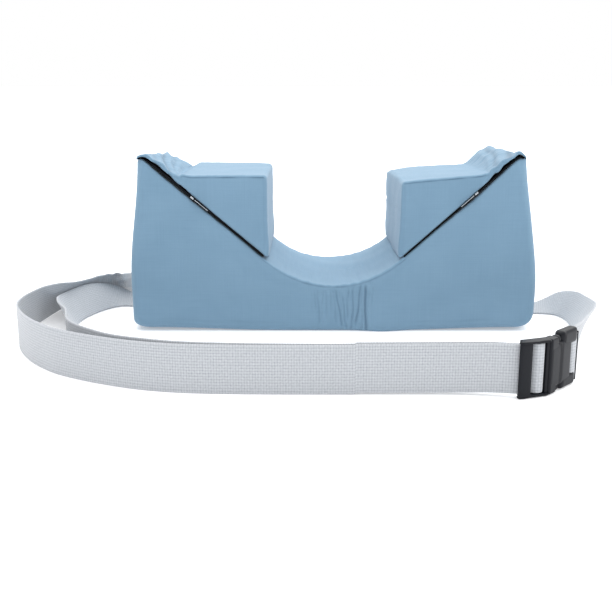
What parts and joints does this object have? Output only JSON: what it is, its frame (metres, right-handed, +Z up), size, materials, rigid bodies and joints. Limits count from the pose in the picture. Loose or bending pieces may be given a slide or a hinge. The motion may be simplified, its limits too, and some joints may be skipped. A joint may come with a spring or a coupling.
{
  "type": "head positioning wedge pillow",
  "caption": "Fabric-covered foam block with a concave head cradle between raised side wedges, held by an elastic webbing strap with a side-release buckle.",
  "frame": {"origin": "middle of the base's underside, level with the surface that it rests on", "axes": "+X to the right as seen from the front, along the strap's front run; +Y to the back; +Z up"},
  "size_m": [0.549, 0.3424, 0.1691],
  "materials": {
    "cover": "woven cotton",
    "zip_tape": "black tape",
    "zip_metal": "bright plated",
    "webbing": "woven elastic",
    "buckle_plastic": "satin"
  },
  "bodies": {
    "root": {"base": "cover", "wedge_left": "cover", "wedge_right": "cover", "zip_tape_left": "zip_tape", "zip_tape_right": "zip_tape", "zip_slider_left": "zip_metal", "zip_slider_right": "zip_metal", "zip_pull_left": "zip_metal", "zip_pull_right": "zip_metal", "strap_under": "webbing", "strap_right": "webbing", "strap_left": "webbing", "strap_tail": "webbing", "buckle_male": "buckle_plastic", "buckle_female": "buckle_plastic"}
  },
  "joints": []
}
